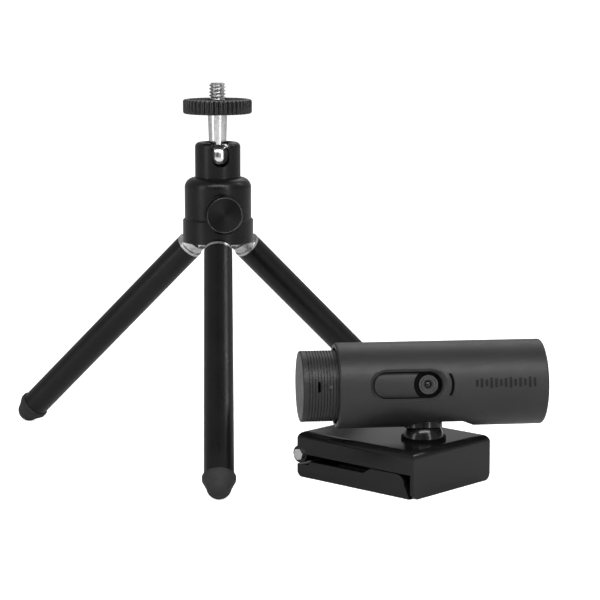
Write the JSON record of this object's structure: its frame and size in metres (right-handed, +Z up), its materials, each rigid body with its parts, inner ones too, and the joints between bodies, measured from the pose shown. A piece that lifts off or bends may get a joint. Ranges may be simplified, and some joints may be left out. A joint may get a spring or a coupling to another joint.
{
  "type": "webcam with mini tripod",
  "caption": "Mini tripod with a ball head and folding tubular legs, and beside it a cylindrical webcam on a folding monitor clip with a ball joint.",
  "frame": {"origin": "centre of the overall box, on the surface that the feet and the clip stand on", "axes": "+Z up along the camera screw; +X from the tripod towards the webcam, the longest extent; the webcam looks roughly to -Y"},
  "size_m": [0.2027, 0.1458, 0.1394],
  "materials": {
    "black_paint": "satin",
    "chrome": "polished",
    "steel": "satin",
    "brass": "satin",
    "bright_aluminium": "satin",
    "black_rubber": "matt",
    "shell_plastic": "fine matt texture",
    "clip_plastic": "satin",
    "gloss_black": "glossy",
    "dark_plastic": "matt",
    "nylon": "matt",
    "lens_glass": "coated",
    "clear_plastic": "clear",
    "circuit_board": "solder mask"
  },
  "bodies": {
    "tripod_hub": {"hub_flange": "black_paint", "hub_screws": "steel", "leg_pins": "steel", "head_housing": "black_paint", "retaining_ring": "steel", "lock_plunger": "brass", "plunger_spring": "steel"},
    "collar": {"socket_collar": "black_paint"},
    "stud": {"ball_stud": "chrome", "camera_screw": "steel"},
    "disc": {"platform_disc": "gloss_black", "disc_pad": "black_rubber"},
    "knob": {"lock_knob": "black_paint", "knob_screw": "steel"},
    "clip": {"clip_arm": "clip_plastic", "arm_pad": "black_rubber", "lip_pad": "black_rubber", "hinge_pin": "steel", "hinge_nut": "steel", "socket_ring": "dark_plastic", "liner_spring": "steel", "socket_cover": "steel"},
    "jaw": {"clip_jaw": "clip_plastic", "jaw_pad": "black_rubber", "tripod_insert": "brass"},
    "swivel": {"socket_liner": "nylon"},
    "camera": {"camera_shell": "shell_plastic", "neck_screw": "steel", "neck_ball": "gloss_black", "light_guide": "clear_plastic", "stop_pin": "steel", "port_board": "circuit_board", "usb_port": "steel", "flex_ribbon": "dark_plastic"},
    "lens_tube": {"barrel": "shell_plastic", "barrel_cap": "shell_plastic", "lens_holder": "dark_plastic", "lens_barrel": "clip_plastic", "front_lens": "lens_glass", "rear_lens": "lens_glass", "ir_filter": "lens_glass", "image_sensor": "dark_plastic", "sensor_board": "circuit_board", "sensor_screws": "steel", "main_board": "circuit_board", "board_parts": "dark_plastic", "microphones": "steel", "status_light": "clear_plastic"},
    "leg_front": {"leg_plug_front": "bright_aluminium", "leg_tube_front": "black_paint", "leg_foot_front": "black_rubber"},
    "leg_right": {"leg_plug_right": "bright_aluminium", "leg_tube_right": "black_paint", "leg_foot_right": "black_rubber"},
    "leg_left": {"leg_plug_left": "bright_aluminium", "leg_tube_left": "black_paint", "leg_foot_left": "black_rubber"}
  },
  "joints": [
    {"name": "leg_fold_front", "type": "hinge", "parent": "tripod_hub", "child": "leg_front", "pos_m": [-0.0176, 0.01311, 0.0813], "axis": [0.9993, 0.0366, 0], "range_deg": [0, 46.74]},
    {"name": "leg_fold_right", "type": "hinge", "parent": "tripod_hub", "child": "leg_right", "pos_m": [-0.01127, 0.02508, 0.0813], "axis": [-0.5314, 0.8471, 0], "range_deg": [0, 46.74]},
    {"name": "leg_fold_left", "type": "hinge", "parent": "tripod_hub", "child": "leg_left", "pos_m": [-0.0248, 0.02458, 0.0813], "axis": [-0.4679, -0.8838, 0], "range_deg": [0, 46.74]},
    {"name": "collar_pan", "type": "hinge", "parent": "tripod_hub", "child": "collar", "pos_m": [-0.01789, 0.02092, 0.0966], "axis": [0, 0, 1], "continuous": true},
    {"name": "stud_tilt", "type": "hinge", "parent": "collar", "child": "stud", "pos_m": [-0.01789, 0.02092, 0.1115], "axis": [0.9823, 0.1874, 0], "range_deg": [-14, 88]},
    {"name": "disc_spin", "type": "hinge", "parent": "stud", "child": "disc", "pos_m": [-0.01789, 0.02092, 0.1278], "axis": [0, 0, 1], "continuous": true},
    {"name": "knob_spin", "type": "hinge", "parent": "tripod_hub", "child": "knob", "pos_m": [-0.0153, 0.00736, 0.0907], "axis": [0.1874, -0.9823, 0], "continuous": true},
    {"name": "webcam_lift", "type": "slide", "parent": "tripod_hub", "child": "clip", "axis": [0, 0, 1], "range_m": [0, 0.15]},
    {"name": "jaw_open", "type": "hinge", "parent": "clip", "child": "jaw", "pos_m": [0.02794, -0.01869, 0.0083], "axis": [0.6782, 0.7349, 0], "range_deg": [0, 105]},
    {"name": "camera_pan", "type": "hinge", "parent": "clip", "child": "swivel", "pos_m": [0.05741, -0.04588, 0.0165], "axis": [0, 0, 1], "continuous": true},
    {"name": "camera_tilt", "type": "hinge", "parent": "swivel", "child": "camera", "pos_m": [0.05741, -0.04588, 0.0165], "axis": [0.9925, 0.1219, 0], "range_deg": [-9, 27]},
    {"name": "privacy_slide", "type": "slide", "parent": "camera", "child": "lens_tube", "axis": [0.9925, 0.1219, 0], "range_m": [0, 0.0115]}
  ]
}
